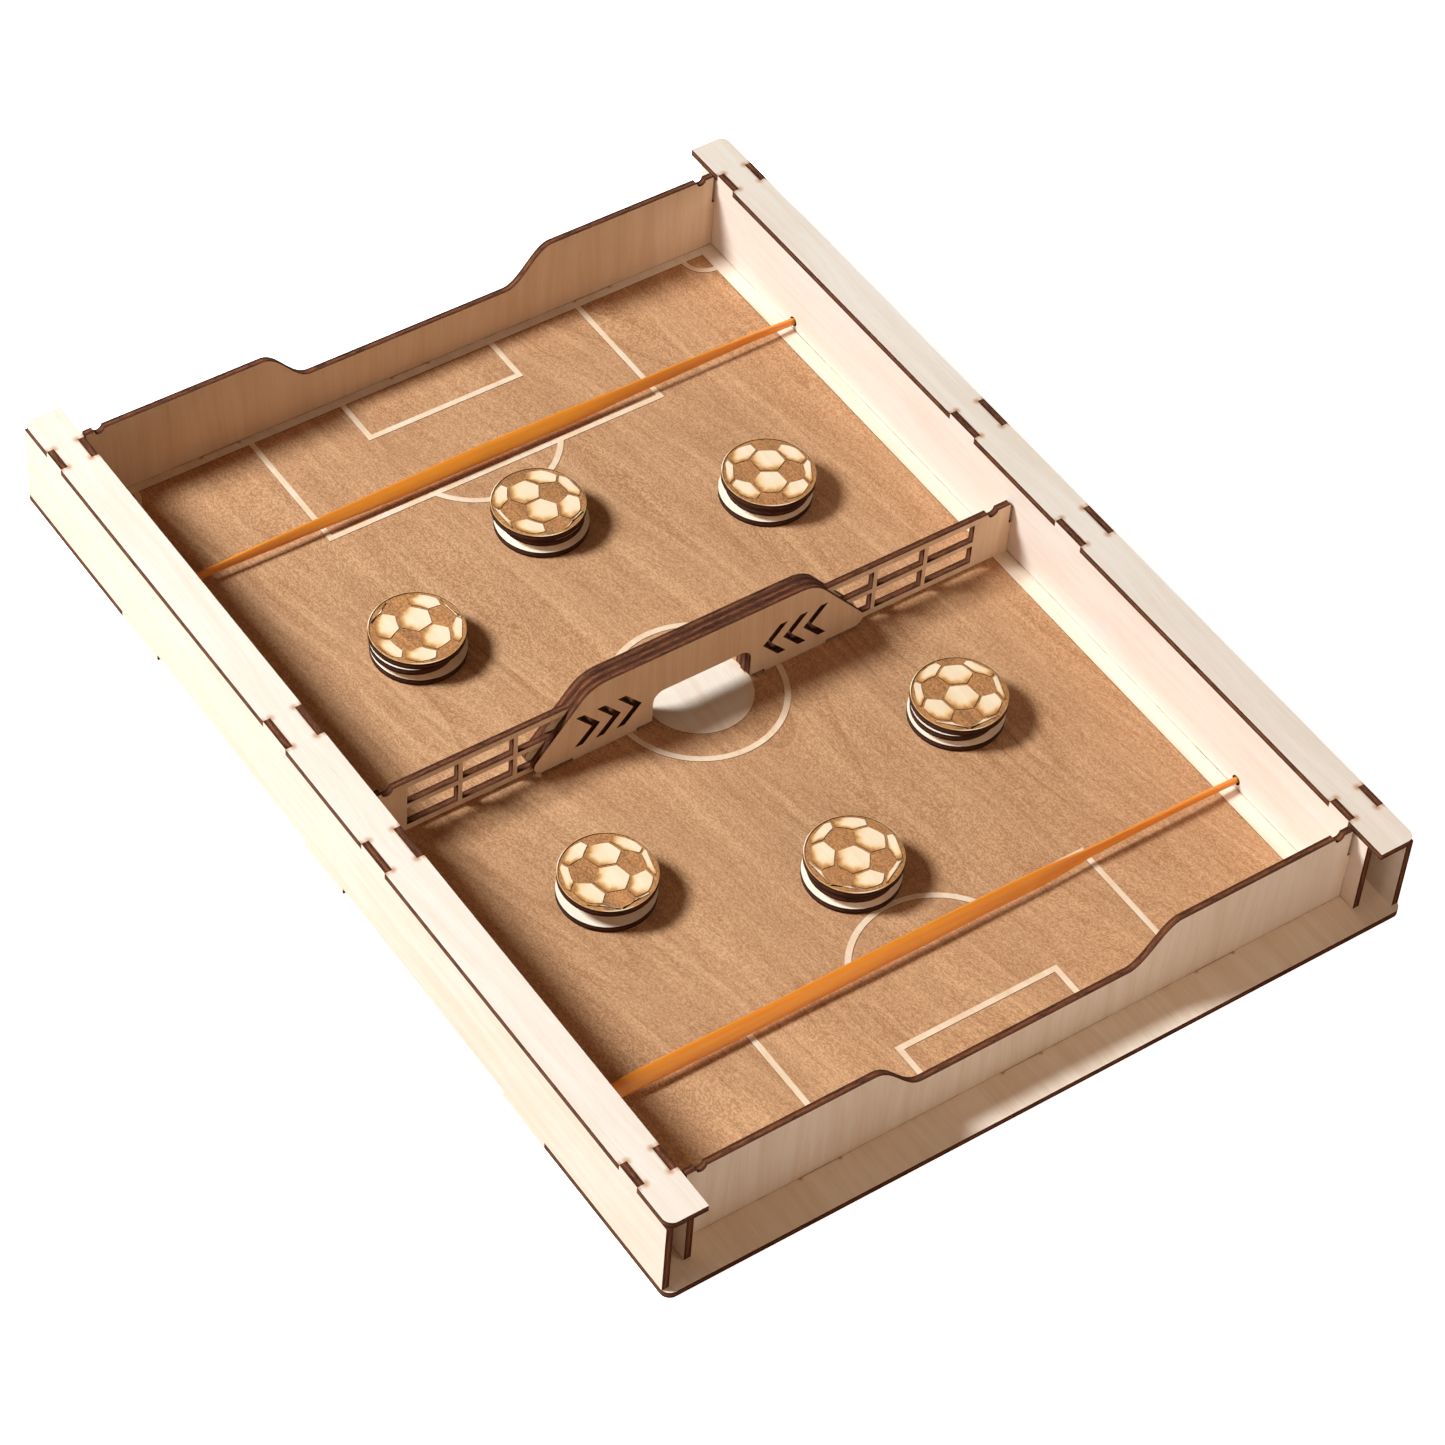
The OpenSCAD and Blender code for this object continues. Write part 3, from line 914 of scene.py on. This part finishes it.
class SLINGBOARD_OT_pucks(bpy.types.Operator):
    """Models the discs of the six pucks, the top ones carved with a plain football"""

    bl_idname = "slingboard.pucks"
    bl_label = "Pucks"

    def execute(self, context):
        ball = context.scene.ball_face
        plain, finishes = {}, {}
        for level in ("bottom", "core", "second", "top"):
            low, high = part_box(f"puck_1_{level}_disc")
            plain[level] = model_disc((high.x - low.x) / 2)
            finishes[level] = disc_material(
                f"birch disc {level}", low.z, top_carved=level == "top"
            )
        for number, (turn, wind) in BALL_TURNS.items():
            for level, finish in finishes.items():
                node = f"puck_{number}_{level}_disc"
                low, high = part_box(node)
                centre = (low + high) / 2
                place = Vector((centre.x, centre.y, low.z))
                if level == "top":
                    radius = (high.x - low.x) / 2
                    patches = model_ball_patches(
                        radius - ball.rim - ball.seam * 0.6,
                        [math.radians(angle) for angle in turn],
                        math.radians(wind),
                        ball,
                    )
                    disc = join(
                        [model_ball_disc(radius, ball), patches], f"puck_{number}_ball_disc"
                    )
                    disc.data.transform(Matrix.Translation(place))
                else:
                    disc = copied(plain[level], f"puck_{number}_{level}_wood_disc", place)
                start_fresh()
                disc.select_set(True)
                context.view_layer.objects.active = disc
                bpy.ops.object.shade_smooth_by_angle(angle=math.radians(25))
                disc.data.materials.clear()
                disc.data.materials.append(finish)
                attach(disc, f"puck_{number}")
                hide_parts(node)
        for disc in plain.values():
            remove(disc)
        return {"FINISHED"}


# ---------------------------------------------------------------- bands


# Shape of a band's section: 1 is an oval, and less is closer to a rectangle
SQUARENESS = 0.55


def model_band_half(name, side_y, direction, hole, shape, widths, tilts):
    """Half a band from its hole to the middle of the board.

    widths are (distance from the hole, share of full width) and tilts (distance, angle)
    in order, and the section keeps nearly the same area as it narrows."""
    length = abs(hole.x)
    start_fresh()
    bpy.ops.mesh.primitive_cylinder_add(
        vertices=20,
        radius=1.0,
        depth=length,
        rotation=(0, math.pi / 2, 0),
        location=(hole.x + direction * length / 2, 0, 0),
    )
    band = named(name)
    edit(band, "EDGE")
    corners = band.data.vertices
    pick(
        band,
        "edges",
        lambda e: abs(corners[e.vertices[0]].co.x - corners[e.vertices[1]].co.x) > 0.1 * MM,
    )
    bpy.ops.mesh.subdivide(number_cuts=89)
    bpy.ops.object.mode_set(mode="OBJECT")
    band.data.attributes.new("across", "FLOAT", "POINT")
    attribute = band.data.attributes["across"]
    full_area = shape.width * shape.thickness
    for vertex in band.data.vertices:
        away = abs(vertex.co.x - hole.x)
        share = along(widths, away / MM)
        tilt = math.radians(along(tilts, away / MM))
        width = shape.neck + (shape.width - shape.neck) * share
        thick = min(shape.neck * 0.9, max(shape.thickness, full_area / width * 0.8))
        angle = math.atan2(vertex.co.z, vertex.co.y)
        # A section between an oval and a rectangle, hollowed a little where it is wide
        u = math.copysign(abs(math.cos(angle)) ** SQUARENESS, math.cos(angle))
        v = math.copysign(abs(math.sin(angle)) ** SQUARENESS, math.sin(angle))
        cup = 0.45 * MM * share * (1 - u * u)
        y, z = u * width / 2, v * thick / 2 + cup
        wobble = 0.25 * MM * math.sin(away * 55 + side_y * 40)
        rise = 0.9 * MM * min(1.0, away / (20 * MM))
        vertex.co.y = side_y + y * math.cos(tilt) - z * math.sin(tilt)
        vertex.co.z = hole.z + rise + wobble * share + y * math.sin(tilt) + z * math.cos(tilt)
        # across runs from 0 at the band's lower edge to 1 at its upper edge, where the rubber's material
        # paints shade.
        attribute.data[vertex.index].value = 0.5 + 0.5 * u
    return band


def along(table, distance):
    """A value read from (distance, value) pairs, eased between them."""
    for (d0, v0), (d1, v1) in zip(table, table[1:]):
        if distance <= d1:
            t = min(1.0, max(0.0, (distance - d0) / (d1 - d0)))
            return v0 + (v1 - v0) * t * t * (3 - 2 * t)
    return table[-1][1]


def model_knot(hole, direction, shape):
    """The band's tail through the wall and its overhand knot behind it."""
    start_fresh()
    bpy.ops.curve.primitive_nurbs_path_add()
    knot = bpy.context.object
    curve = knot.data
    curve.splines.clear()
    steps = 40
    cord = 1.15 * MM  # radius of the rolled rubber
    points = [Vector((x * MM, 0, 0)) for x in (-0.6, 1.5, 3.4)]
    for i in range(steps + 1):
        t = math.radians(20) + 2 * math.pi * i / steps * 0.93
        ring = Vector(
            (
                math.sin(3 * t) * cord * 0.75,
                (math.sin(t) + 2 * math.sin(2 * t)) * cord * 0.78,
                (math.cos(t) - 2 * math.cos(2 * t)) * cord * 0.78,
            )
        )
        points.append(Vector((6.6 * MM, 0, 0)) + ring)
    points.append(Vector((9.4 * MM, 0.6 * MM, 1.2 * MM)))
    spline = curve.splines.new("NURBS")
    spline.points.add(len(points) - 1)
    for point, place in zip(spline.points, points):
        point.co = (hole.x - direction * place.x, hole.y + place.y, hole.z + place.z, 1.0)
    spline.use_endpoint_u = True
    spline.order_u = 4
    curve.dimensions = "3D"
    curve.resolution_u = 3
    curve.bevel_depth = cord
    curve.bevel_resolution = 3
    curve.use_fill_caps = True
    bpy.ops.object.convert(target="MESH")
    knot = named("knot")
    edit(knot, "FACE")
    bpy.ops.mesh.select_all(action="SELECT")
    bpy.ops.mesh.remove_doubles(threshold=LEVEL)
    bpy.ops.mesh.normals_make_consistent(inside=False)
    bpy.ops.object.mode_set(mode="OBJECT")
    # The knot takes the middle value of across, so it gets half of the rubber's painted edge shade.
    give_attribute(knot, "across", lambda v: 0.5)
    return knot


# For each band and side: share of full width and tilt in degrees, by distance from the hole in mm
BAND_FORM = {
    ("near", -1): (
        ((0, 0.0), (9, 0.85), (30, 1.0), (150, 1.0)),
        ((0, 30), (20, 38), (150, 40)),
    ),
    ("near", 1): (
        ((0, 0.0), (30, 0.05), (62, 0.30), (95, 0.95), (150, 1.0)),
        ((0, 95), (60, 80), (100, 48), (150, 40)),
    ),
    ("far", -1): (
        ((0, 0.0), (20, 0.05), (60, 0.38), (110, 0.85), (150, 1.0)),
        ((0, 90), (40, 60), (90, 42), (150, 40)),
    ),
    ("far", 1): (
        ((0, 0.0), (20, 0.15), (70, 0.5), (120, 0.95), (150, 1.0)),
        ((0, 80), (60, 60), (120, 42), (150, 40)),
    ),
}


class SLINGBOARD_OT_bands(bpy.types.Operator):
    """Models the two elastic bands, each in two halves with a knot behind the rail's wall"""

    bl_idname = "slingboard.bands"
    bl_label = "Elastic bands"

    def execute(self, context):
        shape = context.scene.band_shape
        rubber = rubber_material()
        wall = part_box("right_inner_wall")[0].x
        for (which, side), (widths, tilts) in BAND_FORM.items():
            node = f"{which}_elastic_band"
            low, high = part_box(node)
            y = (low.y + high.y) / 2
            hole = Vector((side * wall, y, HOLE_Z))
            half = model_band_half("half", y, -side, hole, shape, widths, tilts)
            knot = model_knot(hole, -side, shape)
            word = "left" if side < 0 else "right"
            band = join([half, knot], f"{which}_band_{word}_half")
            start_fresh()
            band.select_set(True)
            context.view_layer.objects.active = band
            bpy.ops.object.shade_smooth_by_angle(angle=math.radians(50))
            band.data.materials.clear()
            band.data.materials.append(rubber)
            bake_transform(band, "board", f"{which}_band", start=hole, end=(side * 30 * MM, y, hole.z))
            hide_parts(node)
        return {"FINISHED"}


# ---------------------------------------------------------------- plywood sheets


class SLINGBOARD_OT_sheets(bpy.types.Operator):
    """Gives the laser-cut sheets their grain, charred edges, scorch marks and engraving"""

    bl_idname = "slingboard.sheets"
    bl_label = "Plywood sheets"

    def execute(self, context):
        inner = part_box("right_inner_wall")[0].x
        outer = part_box("right_outer_wall")[0].x
        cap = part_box("right_rail_cap")[0].z
        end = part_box("far_end_wall")[0].y
        slots = [
            ((x + PLY / 2, y * MM, 0), (PLY / 2 + 0.1 * MM, half * MM, 1.0), 2.6 * MM)
            for x in (inner, outer)
            for y, half in ((200.3, 5.6), (34.6, 8.1))
        ]
        # An almost black line on the walls just around the board's top face, where they stand on it: painted
        # contact shade at their foot.
        painted_foot_shade = ((Z, PLY, 0.5 * MM, 1.0, (0.16, 0.06, 0.02)),)
        # The caps' tint is a dimmer, greyer copy of the birch: painted shade against the strong key light on
        # them.
        caps = sheet_material(
            "birch rail cap",
            Z,
            cap,
            Y,
            scorches=slots,
            contrast=0.7,
            mirrored=False,
            tint=(0.93, 0.90, 0.87),
        )
        # Each sheet's tint is painted light on the same birch: the inner and outer walls get dimmer copies
        # as painted shade against the strong key light, and the far end wall, the net fence and the gate
        # plates get darker, warmer copies as painted shade; the near end wall keeps the plain birch.
        walls_in, walls_out, near_end, far_end, fence, gate = (
            sheet_material(
                "birch " + name, axis, start, grain, contrast=contrast, tint=tint, **looks
            )
            for name, axis, start, grain, contrast, tint, looks in (
                ("inner wall", X, inner, Y, 0.6, (0.90, 0.85, 0.83), {"stain": painted_foot_shade}),
                ("outer wall", X, outer, Y, 0.7, (0.86, 0.82, 0.78), {}),
                ("near end wall", Y, end, Z, 0.9, (1, 1, 1), {"stain": painted_foot_shade}),
                ("far end wall", Y, end, Z, 0.9, (0.93, 0.81, 0.68), {"stain": painted_foot_shade}),
                ("net fence", Y, -PLY / 2, Z, 0.9, (0.99, 0.87, 0.74), {"mirrored": False}),
                ("gate plate", Y, PLY / 2, Z, 1.0, (0.90, 0.78, 0.65), {}),
            )
        )
        for node, material in (
            ("base_board", pitch_material()),
            ("left_rail_cap", caps),
            ("right_rail_cap", caps),
            ("left_inner_wall", walls_in),
            ("right_inner_wall", walls_in),
            ("left_outer_wall", walls_out),
            ("right_outer_wall", walls_out),
            ("near_end_wall", near_end),
            ("far_end_wall", far_end),
            ("net_fence", fence),
            ("near_gate_plate", gate),
            ("far_gate_plate", gate),
        ):
            dress(node, material)
        return {"FINISHED"}


# ---------------------------------------------------------------- stage


KEY_AIM = Vector((0.02, -0.15, 0))
# Where the camera stands, and the directions of its picture's right, down and depth
CAMERA_PLACE = Vector((-0.73399, -0.96113, 1.32912))
CAMERA_RIGHT = Vector((0.82482619, -0.56250339, 0.05702355))
CAMERA_DOWN = Vector((-0.38775211, -0.63619761, -0.66700892))
CAMERA_FORWARD = Vector((0.41147302, 0.52805543, -0.74286433))


def soft_light(name, place, aim, size, power, colour):
    start_fresh()
    bpy.ops.object.light_add(type="AREA", location=place)
    light = bpy.context.object
    light.name = name
    light.data.shape = "DISK"
    light.data.size = size
    light.data.energy = power
    light.data.color = colour
    light.visible_camera = False
    light.rotation_mode = "QUATERNION"
    light.rotation_quaternion = (Vector(aim) - Vector(place)).to_track_quat("-Z", "Y")
    return light


class SLINGBOARD_OT_stage(bpy.types.Operator):
    """Sets the white paper, the soft lights and the camera"""

    bl_idname = "slingboard.stage"
    bl_label = "Stage, lights and camera"

    def execute(self, context):
        scene = context.scene
        light = scene.stage_light
        start_fresh()
        bpy.ops.mesh.primitive_plane_add(size=8.0, location=(0, 0, -0.1 * MM))
        paper = named("paper_floor")
        paper.data.materials.append(paper_material())

        toward_key = Vector((-0.60, 0.43, 0.69)).normalized()
        for name, place, aim, size, power, colour in (
            ("key_light", KEY_AIM + toward_key * 2.1, KEY_AIM, 0.56, light.key, (0.84, 0.93, 1.0)),
            ("side_light", (-1.6, 0.1, 0.50), (0, 0, 0), 1.1, light.fill, (0.92, 0.97, 1.0)),
            ("front_card", (0.05, -0.43, 0.20), (0, -0.2, 0), 0.30, light.card, (1.0, 0.80, 0.64)),
        ):
            soft_light(name, place, aim, size, power, colour)

        world = bpy.data.worlds.new("even sky")
        scene.world = world
        world.use_nodes = True
        background = world.node_tree.nodes["Background"].inputs
        background["Color"].default_value = (1.0, 0.60, 0.35, 1)
        background["Strength"].default_value = light.sky
        scene.view_settings.view_transform = "Standard"

        start_fresh()
        bpy.ops.object.camera_add()
        camera = context.object
        camera.name = "camera"
        camera.data.sensor_width = 36.0
        camera.data.lens = light.focal
        camera.data.clip_end = 50.0
        turn = Matrix((CAMERA_RIGHT, -CAMERA_DOWN, -CAMERA_FORWARD)).transposed().to_4x4()
        camera.matrix_world = Matrix.Translation(CAMERA_PLACE) @ turn
        scene.camera = camera
        return {"FINISHED"}


# ---------------------------------------------------------------- panel


OPERATORS = (SLINGBOARD_OT_sheets, SLINGBOARD_OT_pucks, SLINGBOARD_OT_bands, SLINGBOARD_OT_stage)
SETTINGS = (
    ("birch_finish", BirchFinish),
    ("ball_face", BallFace),
    ("band_shape", BandShape),
    ("stage_light", StageLight),
)


class SLINGBOARD_PT_panel(bpy.types.Panel):
    """Lists the steps that build the board, and their settings"""

    bl_idname = "SLINGBOARD_PT_panel"
    bl_label = "Sling board"
    bl_space_type = "VIEW_3D"
    bl_region_type = "UI"
    bl_category = "Sling board"

    def draw(self, context):
        for operator in OPERATORS:
            self.layout.operator(operator.bl_idname)
        for name, group in SETTINGS:
            box = self.layout.box()
            for key in group.__annotations__:
                box.prop(getattr(context.scene, name), key)


def register():
    for name, group in SETTINGS:
        bpy.utils.register_class(group)
        setattr(bpy.types.Scene, name, bpy.props.PointerProperty(type=group))
    for operator in OPERATORS:
        bpy.utils.register_class(operator)
    bpy.utils.register_class(SLINGBOARD_PT_panel)


def unregister():
    bpy.utils.unregister_class(SLINGBOARD_PT_panel)
    for operator in reversed(OPERATORS):
        bpy.utils.unregister_class(operator)
    for name, group in reversed(SETTINGS):
        delattr(bpy.types.Scene, name)
        bpy.utils.unregister_class(group)


def main():
    register()
    make_birch_grain()
    make_engraved_raster()
    make_laser_cut_edge()
    make_slot_scorch()
    bpy.ops.slingboard.sheets()
    bpy.ops.slingboard.pucks()
    bpy.ops.slingboard.bands()
    bpy.ops.slingboard.stage()


if __name__ == "__main__":
    main()
